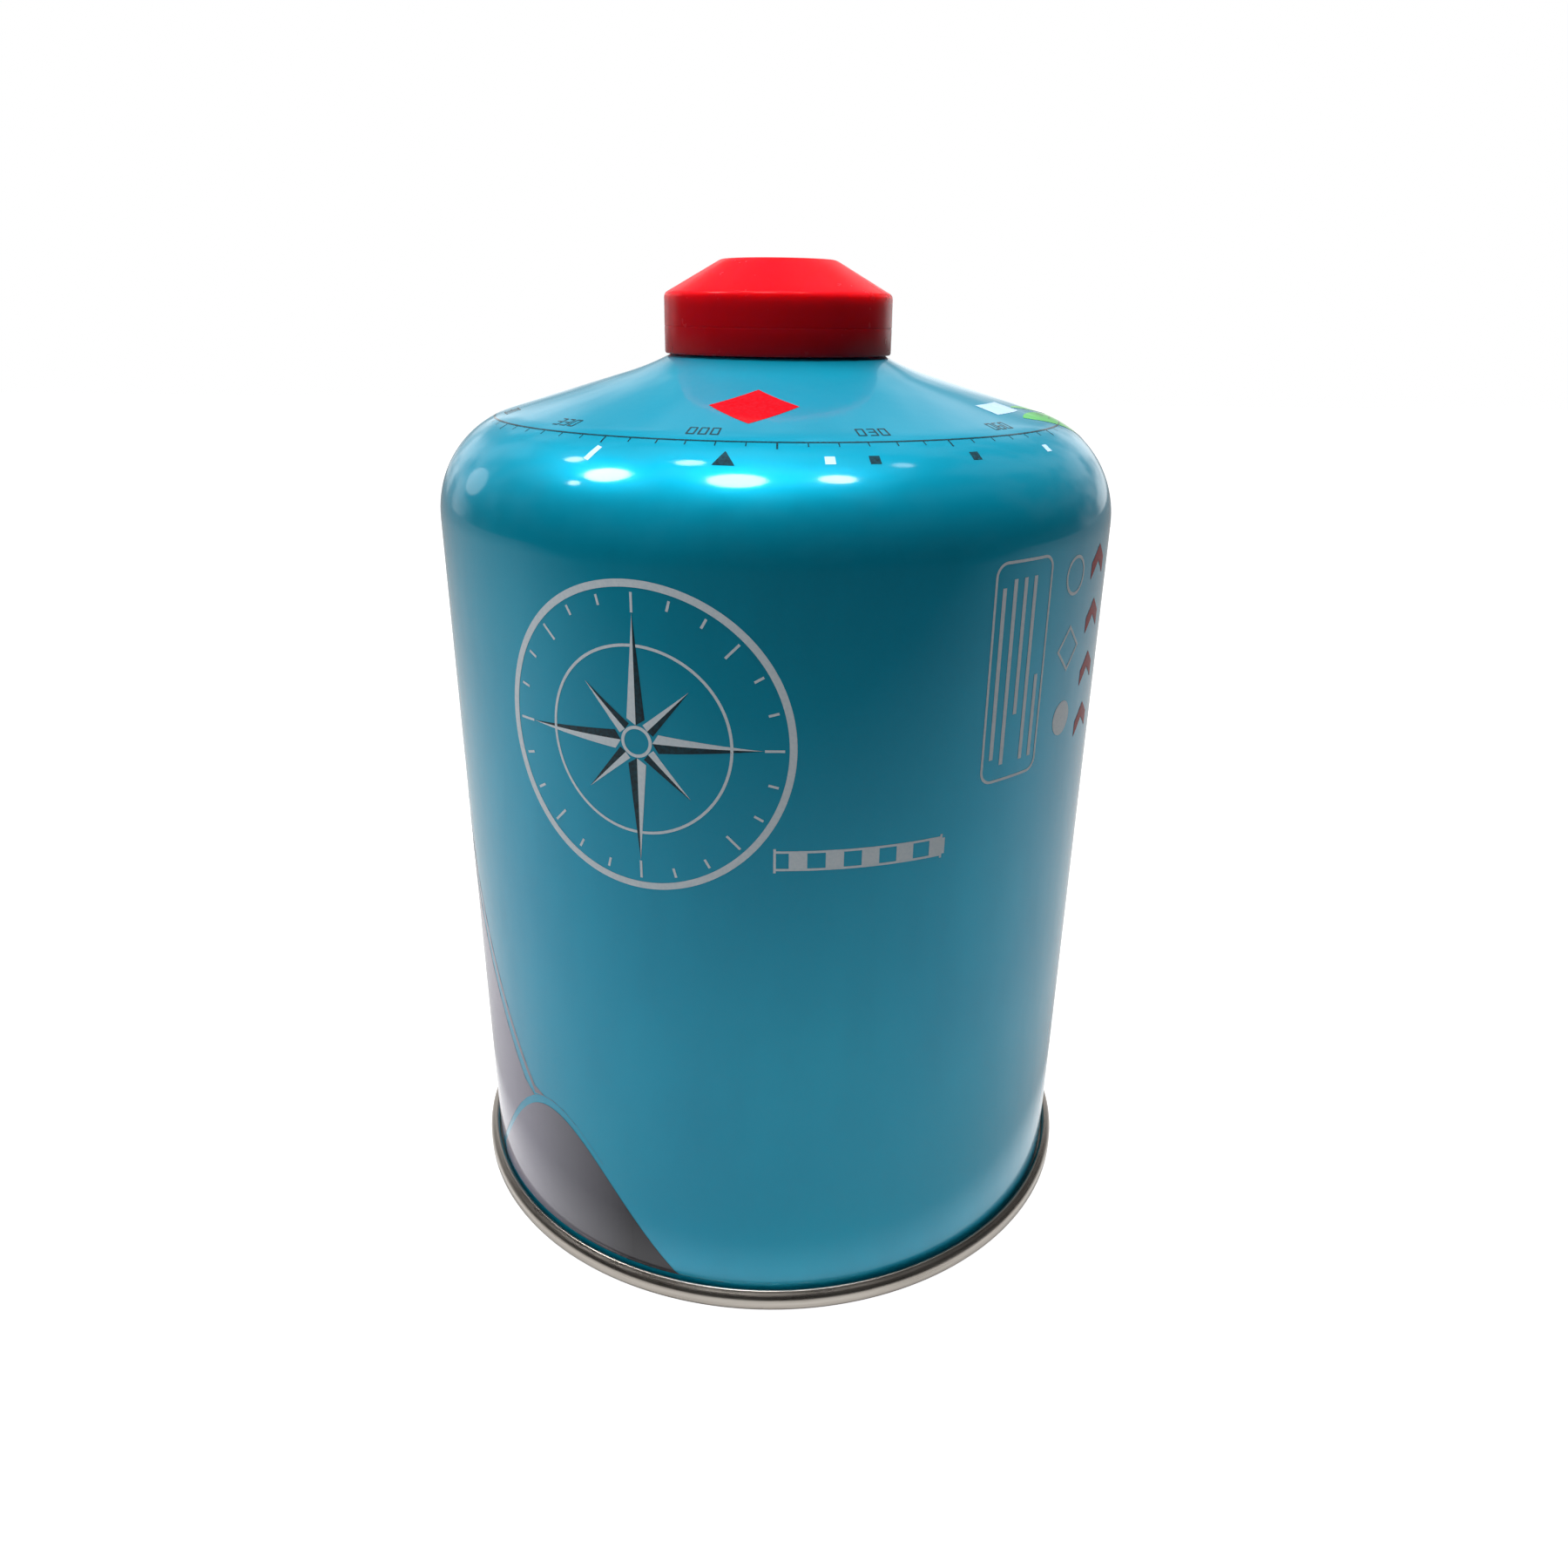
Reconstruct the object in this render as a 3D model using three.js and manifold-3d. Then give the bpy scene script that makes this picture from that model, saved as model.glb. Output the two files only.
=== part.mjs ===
// Screw-valve fuel canister: a drawn steel vessel, its seamed end, a valve and a push-on cap.
// Millimetres, +Z up, the seam ring stands on z = 0 and the axis of every turned piece is Z.
import * as THREE from 'three';
import { mergeVertices } from 'three/addons/utils/BufferGeometryUtils.js';
import Module from 'manifold-3d';

// Driving sizes of the vessel
const WALL_R = 53.06;
const WALL_SHEET = 0.36;
const SHOULDER_R = 16.0;
const SHOULDER_Z = 117.0;
const CROWN_SLOPE = 16.5;
const FLARE_START = 23.5;
const FLARE_R = 42.0;
const NECK_R = 12.4;
const NECK_RISE = 2.466;
const CURL_R = 1.4;

// Clearance between pieces that are crimped, rolled or pressed together, and room in the well
const CLEAR = 0.3;
const WELL_ROOM = 0.4;

// Driving sizes of the seamed end
const END_SHEET = 0.45;
const SEAM_COVER = 1.64;
const SEAM_TOP = 3.2;
const SEAM_FLOOR = 1.3;
const SEAM_EDGE = 0.7;
const SEAM_LIP = 0.6;
const CORNER_R = 1.8;
const CORNER_Z = 3.6;
const DISH_ANGLE = 73.7;

// Driving sizes of the valve
const CUP_SHEET = 0.4;
const CUP_DEPTH = 4.6;
const CUP_BEND = 0.8;
const CRIMP = 0.9;
const BOSS_RISE = 12.2;
const BOSS_WALL = 0.6;
const BOSS_ROOF = 0.5;
const THREAD_MAJOR = 5.55;
const THREAD_DEPTH = 0.55;
const THREAD_PITCH = 25.4 / 28;
const THREAD_LONG = 5.3;
const THREAD_LEAD = 0.9;
const GASKET = 0.6;
const STEM_GASKET = 1.1;
const HOUSING_WALL = 0.8;
const CHAMBER = 8.7;
const HOUSING_BASE = 3.4;
const TAIL_R = 2.2;
const TAIL_LONG = 4.9;
const DRILL_R = 0.8;
const STEM_HEAD_R = 1.6;
const STEM_PIN_R = 1.5;
const STEM_SUNK = 0.6;
const PIN_LONG = 3.5;
const FLANGE = 1.5;
const FLANGE_GAP = 0.4;
const WIRE_R = 0.3;
const COIL_INSET = 0.55;
const COIL_TURNS = 5;

// Driving sizes of the cap
const BEAD = 0.35;
const CAP_WALL = 1.02;
const CAP_LIFT = 0.54;
const CAP_ROOM = 1.45;
const CAP_ROOF = 1.2;
const CAP_CONE = 4.85;
const CAP_DISC_R = 9.0;
const CAP_ROUND = 1.0;
const GROOVE = 0.13;
const GROOVE_RISE = 3.6;
const GATE_R = 1.8;
const GATE_DEPTH = 0.25;
const RIB = 0.8;
const RIB_ROOM = 0.5;
const RIB_COUNT = 6;

// Seamed end, from the vessel's wall inwards and outwards
const CHUCK_R = WALL_R - WALL_SHEET - CLEAR - END_SHEET;
const CORNER_CENTRE_R = CHUCK_R - CORNER_R;
const HOOK_R = WALL_R + CLEAR;
const SEAM_R = HOOK_R + SEAM_COVER;

// Neck and curl, on the crown's flare
const CURL_CENTRE_R = NECK_R + CURL_R;
const NECK_FOOT_R = CURL_CENTRE_R + CURL_R + 0.06;
const NECK_FOOT_Z = flareHeight(NECK_FOOT_R);
const CURL_CENTRE_Z = NECK_FOOT_Z + NECK_RISE;

// Cup, in and over the curl
const CUP_WALL_R = NECK_R - CLEAR;
const CRIMP_R = CUP_WALL_R + CRIMP;
const CUP_FLOOR = CURL_CENTRE_Z - CUP_DEPTH;
const GASKET_Z = CURL_CENTRE_Z + CURL_R + CLEAR;
const CHANNEL_Z = GASKET_Z + GASKET + CLEAR;
const SKIRT_R = CURL_CENTRE_R + CURL_R + CLEAR;

// Boss and what is held in it
const BOSS_R = THREAD_MAJOR - THREAD_DEPTH;
const BOSS_BORE_R = BOSS_R - BOSS_WALL;
const BOSS_TOP = CUP_FLOOR + BOSS_RISE;
const THREAD_HIGH = BOSS_TOP - THREAD_LEAD;
const THREAD_LOW = THREAD_HIGH - THREAD_LONG;
const HOUSING_R = BOSS_BORE_R - CLEAR;
const CHAMBER_R = HOUSING_R - HOUSING_WALL;
const FLANGE_R = CHAMBER_R - FLANGE_GAP;
const COIL_R = FLANGE_R - COIL_INSET;
const STEM_GASKET_HIGH = BOSS_TOP - BOSS_ROOF - CLEAR;
const STEM_GASKET_LOW = STEM_GASKET_HIGH - STEM_GASKET;
const HOUSING_TOP = STEM_GASKET_LOW - CLEAR;
const CHAMBER_FLOOR = HOUSING_TOP - CHAMBER;
const HOUSING_STEP = CHAMBER_FLOOR - HOUSING_BASE;
const TAIL_LOW = HOUSING_STEP - TAIL_LONG;
const FLANGE_LOW = HOUSING_TOP - FLANGE;

// Cap, over the cup's skirt and the boss
const CAP_BEAD_R = SKIRT_R + CUP_SHEET + CLEAR;
const CAP_BORE_R = CAP_BEAD_R + BEAD;
const CAP_R = CAP_BORE_R + CAP_WALL;
const CAP_BASE = flareHeight(CAP_R) + CAP_LIFT;
const CAP_TOP = BOSS_TOP + CAP_ROOM + CAP_ROOF;
const CAP_EDGE = CAP_TOP - CAP_CONE;

// Colours and surfaces
const lacquer = material('#0e7f9e', 0.18, 0.35);
const tinplate = material('#b4aea6', 0.32, 0.9);
const redPlastic = material('#b3121b', 0.22, 0.0);
const blackRubber = material('#1c1c1d', 0.8, 0.0);
const brass = material('#b5944a', 0.3, 0.9);
const springSteel = material('#a9abad', 0.3, 0.9);
const greyPlastic = material('#c9c8c2', 0.5, 0.0);

function material(colour, roughness, metalness) {
  return new THREE.MeshStandardMaterial({ color: colour, roughness, metalness });
}

function rad(degrees) {
  return degrees * Math.PI / 180;
}

// Points on an arc about (r, z), ends included
function arc(r, z, radius, from, to, steps) {
  const points = [];
  for (let i = 0; i <= steps; i += 1) {
    const a = rad(from + (to - from) * i / steps);
    points.push([r + radius * Math.cos(a), z + radius * Math.sin(a)]);
  }
  return points;
}

// Twice the signed area of an outline, positive when it runs anticlockwise
function area(points) {
  let sum = 0;
  points.forEach((p, i) => {
    const q = points[(i + 1) % points.length];
    sum += p[0] * q[1] - q[0] * p[1];
  });
  return sum;
}

// Turns an outline of (radius, height) points about Z; rings close on themselves
function turned(points, segments) {
  let line = points.map((p) => new THREE.Vector2(Math.max(p[0], 0), p[1]));
  const ring = line[0].x > 0 || line[line.length - 1].x > 0;
  if (ring) {
    line.push(line[0].clone());
  }
  if (area(points) < 0) {
    line = line.reverse();
  }
  const geometry = new THREE.LatheGeometry(line, segments);
  geometry.rotateX(Math.PI / 2);
  return geometry;
}

function piece(name, geometry, surface) {
  const mesh = new THREE.Mesh(geometry, surface);
  mesh.name = name;
  return mesh;
}

// The upward dish and the chuck wall below it, as one line at a given corner radius
function dishLine(corner, lowEnd, steps) {
  const sphere = CORNER_CENTRE_R / Math.cos(rad(DISH_ANGLE));
  const centreZ = CORNER_Z - sphere * Math.sin(rad(DISH_ANGLE));
  const dome = arc(0, centreZ, sphere + corner, 90, DISH_ANGLE, steps);
  const bend = arc(CORNER_CENTRE_R, CORNER_Z, corner, DISH_ANGLE, 0, 3);
  dome[0][0] = 0;
  return [...dome, ...bend.slice(1), [CORNER_CENTRE_R + corner, lowEnd]];
}

// Where the straight crown passes into the flare, and the flare's centre
function flareCentre() {
  const slope = rad(CROWN_SLOPE);
  const shoulderEnd = WALL_R - SHOULDER_R + SHOULDER_R * Math.sin(slope);
  const rise = (shoulderEnd - FLARE_START) * Math.tan(slope);
  const startZ = SHOULDER_Z + SHOULDER_R * Math.cos(slope) + rise;
  return [FLARE_START + FLARE_R * Math.sin(slope), startZ + FLARE_R * Math.cos(slope)];
}

// Height of the flare at a radius between the neck and the straight crown
function flareHeight(r) {
  const [centreR, centreZ] = flareCentre();
  return centreZ - Math.sqrt(FLARE_R ** 2 - (centreR - r) ** 2);
}

// Shoulder arc, straight crown, then the flare that lifts to the neck
function crownLine() {
  const shoulder = arc(WALL_R - SHOULDER_R, SHOULDER_Z, SHOULDER_R, 0, 90 - CROWN_SLOPE, 8);
  const [centreR, centreZ] = flareCentre();
  const from = -90 - CROWN_SLOPE;
  const to = -180 + Math.acos((centreR - NECK_FOOT_R) / FLARE_R) * 180 / Math.PI;
  return [...shoulder, ...arc(centreR, centreZ, FLARE_R, from, to, 3)];
}

// The filled vessel as one closed solid, with the opening that takes the valve
function canBody() {
  const hem = SEAM_FLOOR + CLEAR;
  const crimpRoom = CRIMP_R + WELL_ROOM;
  const wellFloor = CUP_FLOOR - CUP_SHEET - CLEAR;
  const housingRoom = HOUSING_R + WELL_ROOM;
  const stepRoom = HOUSING_STEP - WELL_ROOM;
  const tailRoom = TAIL_R + WELL_ROOM;
  const points = [
    ...dishLine(CORNER_R + END_SHEET + CLEAR, hem, 4),
    [WALL_R, hem],
    ...crownLine(),
    [CURL_CENTRE_R - 0.5, NECK_FOOT_Z + 0.32],
    ...arc(CURL_CENTRE_R, CURL_CENTRE_Z, CURL_R, -115, 180, 7),
    [NECK_R, CUP_FLOOR + 2.9],
    [crimpRoom, CUP_FLOOR + 1.9],
    [crimpRoom, CUP_FLOOR],
    [crimpRoom - 0.8, wellFloor],
    [housingRoom, wellFloor],
    [housingRoom, stepRoom],
    [tailRoom, stepRoom],
    [tailRoom, TAIL_LOW - WELL_ROOM],
    [0, TAIL_LOW - WELL_ROOM],
  ];
  return piece('can_body', turned(points, 64), lacquer);
}

// Tinplate end: dish, chuck wall and the rolled double seam that the canister stands on
function bottomEnd() {
  const points = [
    ...dishLine(CORNER_R, SEAM_EDGE, 5),
    ...arc(CHUCK_R + SEAM_EDGE, SEAM_EDGE, SEAM_EDGE, 180, 270, 2).slice(1),
    ...arc(SEAM_R - SEAM_EDGE, SEAM_EDGE, SEAM_EDGE, 270, 360, 3),
    ...arc(SEAM_R - SEAM_LIP, SEAM_TOP - SEAM_LIP, SEAM_LIP, 0, 90, 3),
    [HOOK_R + 0.15, SEAM_TOP],
    [HOOK_R, SEAM_TOP - 0.15],
    [HOOK_R, SEAM_FLOOR],
    ...dishLine(CORNER_R + END_SHEET, SEAM_FLOOR, 5).reverse(),
  ];
  return piece('bottom_end', turned(points, 64), tinplate);
}

// Mounting cup of the valve: channel over the curl, floor, and the boss that carries the thread
function valveCup() {
  const holeR = STEM_HEAD_R + 2 * CLEAR;
  const innerR = CUP_WALL_R - CUP_SHEET;
  const bend = CHANNEL_Z - CUP_BEND;
  const skirtEnd = CURL_CENTRE_Z - 0.8;
  const under = CUP_FLOOR - CUP_SHEET;
  const rows = 26;
  const thread = [];
  for (let i = 0; i <= rows; i += 1) {
    thread.push([BOSS_R, THREAD_HIGH + (THREAD_LOW - THREAD_HIGH) * i / rows]);
  }
  const points = [
    [holeR, BOSS_TOP],
    [BOSS_R - 0.5, BOSS_TOP],
    [BOSS_R, BOSS_TOP - 0.5],
    ...thread,
    [BOSS_R, CUP_FLOOR + 1.0],
    [BOSS_R + 0.3, CUP_FLOOR + 0.3],
    [BOSS_R + 1.0, CUP_FLOOR],
    [CUP_WALL_R - 0.5, CUP_FLOOR],
    [CRIMP_R - CUP_SHEET, CUP_FLOOR + CRIMP],
    [innerR, CUP_FLOOR + 2.6],
    [innerR, bend],
    ...arc(CUP_WALL_R + CUP_BEND, bend, CUP_BEND + CUP_SHEET, 150, 90, 2),
    ...arc(SKIRT_R - CUP_BEND, bend, CUP_BEND + CUP_SHEET, 90, 0, 3),
    [SKIRT_R + CUP_SHEET, skirtEnd],
    [SKIRT_R, skirtEnd],
    ...arc(SKIRT_R - CUP_BEND, bend, CUP_BEND, 0, 90, 3),
    ...arc(CUP_WALL_R + CUP_BEND, bend, CUP_BEND, 90, 180, 3),
    [CUP_WALL_R, CUP_FLOOR + 2.8],
    [CRIMP_R, CUP_FLOOR + 1.0],
    [CUP_WALL_R - 0.2, under],
    [BOSS_R + 0.2, under],
    [BOSS_BORE_R, CUP_FLOOR + 0.3],
    [BOSS_BORE_R, BOSS_TOP - BOSS_ROOF],
    [holeR, BOSS_TOP - BOSS_ROOF],
  ];
  const geometry = turned(points, 32);
  cutThread(geometry);
  return piece('valve_cup', geometry, tinplate);
}

// Raises the boss wall to a 28-to-the-inch right-hand thread that fades at both ends
function cutThread(geometry) {
  const place = geometry.attributes.position;
  for (let i = 0; i < place.count; i += 1) {
    const x = place.getX(i);
    const y = place.getY(i);
    const z = place.getZ(i);
    const r = Math.hypot(x, y);
    const onThread = Math.abs(r - BOSS_R) < 0.01 && z > THREAD_LOW && z < THREAD_HIGH;
    if (onThread) {
      const turn = z / THREAD_PITCH - Math.atan2(y, x) / (2 * Math.PI);
      const phase = Math.abs(2 * (turn - Math.floor(turn)) - 1);
      const crest = Math.min(Math.max(1.6 * phase - 0.3, 0), 1);
      const fade = Math.min(z - THREAD_LOW, THREAD_HIGH - z, 0.5) / 0.5;
      const grown = BOSS_R + THREAD_DEPTH * crest * fade;
      place.setX(i, x * grown / r);
      place.setY(i, y * grown / r);
    }
  }
  geometry.computeVertexNormals();
}

// Flat ring, used for both gaskets
function flatRing(name, inner, outer, low, high, segments) {
  const points = [[inner, low], [outer, low], [outer, high], [inner, high]];
  return piece(name, turned(points, segments), blackRubber);
}

// Stem with a sealing flange, a guide pin for the spring and a drilled head
function valveStem() {
  const pinLow = FLANGE_LOW - PIN_LONG;
  const headTop = BOSS_TOP - STEM_SUNK;
  const points = [
    [0, pinLow],
    [STEM_PIN_R - 0.4, pinLow],
    [STEM_PIN_R, pinLow + 0.4],
    [STEM_PIN_R, FLANGE_LOW],
    [FLANGE_R, FLANGE_LOW],
    [FLANGE_R, HOUSING_TOP - 0.4],
    [FLANGE_R - 0.4, HOUSING_TOP],
    [STEM_HEAD_R, HOUSING_TOP],
    [STEM_HEAD_R, headTop - 0.3],
    [STEM_HEAD_R - 0.3, headTop],
    [DRILL_R, headTop],
    [DRILL_R, headTop - DRILL_R],
    [0, headTop - DRILL_R],
  ];
  return piece('valve_stem', turned(points, 24), brass);
}

// Moulded housing that guides the stem and ends in a drilled tail
function valveHousing() {
  const points = [
    [DRILL_R, TAIL_LOW],
    [TAIL_R - 0.3, TAIL_LOW],
    [TAIL_R, TAIL_LOW + 0.4],
    [TAIL_R, HOUSING_STEP],
    [HOUSING_R, HOUSING_STEP],
    [HOUSING_R, HOUSING_TOP],
    [CHAMBER_R, HOUSING_TOP],
    [CHAMBER_R, CHAMBER_FLOOR],
    [DRILL_R, CHAMBER_FLOOR],
  ];
  return piece('valve_housing', turned(points, 24), greyPlastic);
}

// Round wire on a helix, both ends closed with a flat face
function stemSpring() {
  const low = CHAMBER_FLOOR + CLEAR + WIRE_R;
  const high = FLANGE_LOW - CLEAR - WIRE_R;
  const steps = 70;
  const around = 6;
  const positions = [];
  const faces = [];
  for (let i = 0; i <= steps; i += 1) {
    const t = i / steps;
    const a = t * COIL_TURNS * 2 * Math.PI;
    const z = low + (high - low) * t;
    for (let k = 0; k < around; k += 1) {
      const b = k / around * 2 * Math.PI;
      const r = COIL_R + WIRE_R * Math.cos(b);
      positions.push(r * Math.cos(a), r * Math.sin(a), z + WIRE_R * Math.sin(b));
    }
  }
  for (let i = 0; i < steps; i += 1) {
    for (let k = 0; k < around; k += 1) {
      const p = i * around + k;
      const q = i * around + (k + 1) % around;
      faces.push(p, p + around, q, q, p + around, q + around);
    }
  }
  const last = steps * around;
  for (let k = 1; k < around - 1; k += 1) {
    faces.push(0, k, k + 1);
    faces.push(last, last + k + 1, last + k);
  }
  const geometry = new THREE.BufferGeometry();
  geometry.setAttribute('position', new THREE.Float32BufferAttribute(positions, 3));
  geometry.setIndex(faces);
  geometry.computeVertexNormals();
  return piece('stem_spring', geometry, springSteel);
}

const wasm = await Module();
wasm.setup();

// A closed solid for joining and cutting, from plain triangles
function solidOf(geometry) {
  const bare = new THREE.BufferGeometry();
  bare.setAttribute('position', geometry.attributes.position.clone());
  bare.setIndex(geometry.index ? geometry.index.clone() : null);
  const welded = mergeVertices(bare, 1e-4);
  const kept = [];
  const index = welded.index.array;
  for (let i = 0; i < index.length; i += 3) {
    const [a, b, c] = [index[i], index[i + 1], index[i + 2]];
    if (a !== b && b !== c && a !== c) {
      kept.push(a, b, c);
    }
  }
  return new wasm.Manifold(new wasm.Mesh({
    numProp: 3,
    vertProperties: new Float32Array(welded.attributes.position.array),
    triVerts: new Uint32Array(kept),
  }));
}

function geometryOf(solid) {
  const mesh = solid.getMesh();
  const geometry = new THREE.BufferGeometry();
  geometry.setAttribute('position', new THREE.Float32BufferAttribute(mesh.vertProperties, 3));
  geometry.setIndex(Array.from(mesh.triVerts));
  geometry.computeVertexNormals();
  return geometry;
}

// One stiffening rib under the cone of the cap, clear of the cup and the boss
function capRib(angle) {
  const low = CHANNEL_Z + CUP_SHEET + RIB_ROOM;
  const high = CAP_TOP - CAP_ROOF / 2;
  const inner = CAP_DISC_R - 2 * RIB;
  const shape = new THREE.Shape();
  shape.moveTo(inner, low);
  shape.lineTo(CAP_BORE_R - RIB, low);
  shape.lineTo(CAP_BORE_R + 0.25, low + RIB);
  shape.lineTo(CAP_BORE_R - 0.15, CAP_EDGE);
  shape.lineTo(CAP_DISC_R, high);
  shape.lineTo(inner, high);
  shape.closePath();
  const plate = new THREE.ExtrudeGeometry(shape, { depth: RIB, bevelEnabled: false });
  plate.translate(0, 0, -RIB / 2);
  plate.rotateX(Math.PI / 2);
  plate.rotateZ(rad(angle));
  return solidOf(plate);
}

// Push-on cap: straight side with a fine parting groove, cone, and a flat top with a gate mark
function cap() {
  const discCentre = [CAP_DISC_R - CAP_ROUND / 2, CAP_TOP - CAP_ROUND];
  const sideCentre = [CAP_R - CAP_ROUND, CAP_EDGE - CAP_ROUND / 2];
  const run = sideCentre[0] - discCentre[0];
  const cone = 90 - Math.atan2(discCentre[1] - sideCentre[1], run) * 180 / Math.PI;
  const grooveLow = CAP_BASE + GROOVE_RISE;
  const points = [
    [0, CAP_TOP - GATE_DEPTH],
    [GATE_R - 0.3, CAP_TOP - GATE_DEPTH],
    [GATE_R, CAP_TOP],
    ...arc(discCentre[0], discCentre[1], CAP_ROUND, 90, cone, 2),
    ...arc(sideCentre[0], sideCentre[1], CAP_ROUND, cone, 0, 4),
    [CAP_R - 0.01, grooveLow + 0.4],
    [CAP_R - GROOVE, grooveLow + 0.3],
    [CAP_R - GROOVE, grooveLow + 0.1],
    [CAP_R - 0.01, grooveLow],
    [CAP_R, CAP_BASE + 0.25],
    [CAP_R - 0.2, CAP_BASE],
    [CAP_BORE_R + 0.6, CAP_BASE],
    [CAP_BORE_R + 0.05, CAP_BASE + 0.5],
    [CAP_BEAD_R, CAP_BASE + 0.9],
    [CAP_BEAD_R, CAP_BASE + 1.4],
    [CAP_BORE_R, CAP_BASE + 1.8],
    [CAP_BORE_R - 0.05, CAP_EDGE - 1.6],
    [CAP_BORE_R - 0.65, CAP_EDGE - 0.7],
    [CAP_DISC_R - 0.6, CAP_TOP - CAP_ROOF],
    [0, CAP_TOP - CAP_ROOF],
  ];
  let solid = solidOf(turned(points, 48));
  for (let i = 0; i < RIB_COUNT; i += 1) {
    solid = solid.add(capRib(i * 360 / RIB_COUNT));
  }
  return piece('cap', geometryOf(solid), redPlastic);
}

// Gaskets: a flat ring on the curl, and one between the housing and the boss's roof
function cupGasket() {
  const half = CURL_R / 2;
  return flatRing('cup_gasket', CURL_CENTRE_R - half, CURL_CENTRE_R + half, GASKET_Z, GASKET_Z + GASKET, 32);
}

function stemGasket() {
  const inner = STEM_HEAD_R + CLEAR;
  return flatRing('stem_gasket', inner, HOUSING_R, STEM_GASKET_LOW, STEM_GASKET_HIGH, 28);
}

const canister = new THREE.Group();
canister.name = 'fuel_canister';
canister.add(canBody());
canister.add(bottomEnd());
canister.add(valveCup());
canister.add(cupGasket());
canister.add(stemGasket());
canister.add(valveStem());
canister.add(stemSpring());
canister.add(valveHousing());
canister.add(cap());

export default canister;
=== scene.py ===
# %% [markdown]
# # A screw-valve fuel canister
# The object is a camping fuel canister: a drawn steel vessel with a printed teal lacquer, a
# bare tinplate end seamed to its foot, and a red moulded cap pushed over the valve.
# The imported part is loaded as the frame, and its nodes stay where they are. A mesh that a
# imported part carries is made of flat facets, which is right for measuring and wrong for close
# views. One way to a fine surface is to subdivide it, but that would round the seam and the
# thread. So the vessel, the end and the cap are turned again here with more steps, the spring is
# wound again, and each one stands for its node.
# Lengths in the script are millimetres until they reach a mesh.

# %% Frame
import math
import bpy
import numpy as np
from mathutils import Matrix


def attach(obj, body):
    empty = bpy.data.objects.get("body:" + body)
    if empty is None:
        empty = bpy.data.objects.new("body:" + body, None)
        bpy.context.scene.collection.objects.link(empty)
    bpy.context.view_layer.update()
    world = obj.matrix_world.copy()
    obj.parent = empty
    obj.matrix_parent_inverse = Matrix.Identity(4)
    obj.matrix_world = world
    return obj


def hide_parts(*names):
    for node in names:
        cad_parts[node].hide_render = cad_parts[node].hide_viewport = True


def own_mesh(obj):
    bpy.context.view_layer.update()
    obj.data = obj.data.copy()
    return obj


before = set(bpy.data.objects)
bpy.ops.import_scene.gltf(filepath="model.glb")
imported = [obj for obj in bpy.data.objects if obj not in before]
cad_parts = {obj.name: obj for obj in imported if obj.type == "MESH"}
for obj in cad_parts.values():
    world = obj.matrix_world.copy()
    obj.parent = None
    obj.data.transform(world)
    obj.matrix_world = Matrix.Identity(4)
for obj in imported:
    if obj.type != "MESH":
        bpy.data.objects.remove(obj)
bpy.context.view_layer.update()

# %% [markdown]
# ## Sizes
# The part's driving sizes are repeated here, so that every finer surface lies on the one it
# stands for. They could also be measured from the loaded meshes, but a named value says what it
# is on the real canister: the wall's radius, the shoulder's rounding, the slope of the crown
# and the flare under the cap.

# %% Sizes
MM = 0.001
WALL_R = 53.06
SEAM_R = 55.0
SEAM_TOP = 3.2
SHOULDER_R = 16.0
SHOULDER_Z = 117.0
SLOPE = math.radians(16.5)  # of the crown
FLARE_START = 23.5  # radius at which the crown starts to turn up to the neck
FLARE_R = 42.0
ARC_END = SHOULDER_R * (math.pi / 2 - SLOPE)
CROWN_R = WALL_R - SHOULDER_R + SHOULDER_R * math.sin(SLOPE)
CROWN_Z = SHOULDER_Z + SHOULDER_R * math.cos(SLOPE)
CROWN_LEN = (CROWN_R - FLARE_START) / math.cos(SLOPE)
FLARE_TURN = math.radians(12.2)
DISH_TURN = 73.7  # degrees, where the dish under the canister meets its corner
CHUCK_R = 50.15  # centre of that corner
CHUCK_Z = 3.6
WALL_FOOT = 1.6  # lower end of the wall inside the seam
INK_LIFT = 0.03  # how far the print stands off the lacquer


def linear(hex_code, alpha=1.0):
    """An sRGB hex colour as linear RGBA."""
    values = [int(hex_code[i:i + 2], 16) / 255 for i in (1, 3, 5)]
    curve = [v / 12.92 if v <= 0.04045 else ((v + 0.055) / 1.055) ** 2.4 for v in values]
    return (*curve, alpha)


print("crown starts at radius", round(CROWN_R, 2), "height", round(CROWN_Z, 2))

# %% [markdown]
# ## Outlines
# Everything on a canister that a lathe or a spinning tool formed is round, so a piece is fully
# described by half of its section. An outline is a list of (radius, height) points.
# Curves could be drawn by hand and traced. Here every outline is an arc, a straight line or a
# formula, because the real tools leave just these: a punch radius, a straight wall, a spherical
# dish. The function `skin` is the important one. It gives the vessel's outer face at any
# distance along its section, and it also carries the print later.

# %% Outlines


def arc(r, z, radius, start, end, steps):
    """Points on an arc about (r, z), angles in degrees."""
    angles = np.radians(np.linspace(start, end, steps + 1))
    return [(r + radius * math.cos(a), z + radius * math.sin(a)) for a in angles]


def straight(a, b, steps):
    """Points from a to b, the last one left out."""
    parts = [i / steps for i in range(steps)]
    return [(a[0] + (b[0] - a[0]) * t, a[1] + (b[1] - a[1]) * t) for t in parts]


def dish_line(fillet, low_end, steps=18):
    """The dish from the axis outwards, its corner and the chuck wall."""
    angle = math.radians(DISH_TURN)
    sphere = CHUCK_R / math.cos(angle)
    centre = CHUCK_Z - sphere * math.sin(angle)
    dome = arc(0, centre, sphere + fillet, 90, DISH_TURN, steps)
    dome[0] = (0.0, dome[0][1])
    corner = arc(CHUCK_R, CHUCK_Z, fillet, DISH_TURN, 0, 8)
    return dome + corner[1:] + [(CHUCK_R + fillet, low_end)]


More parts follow.
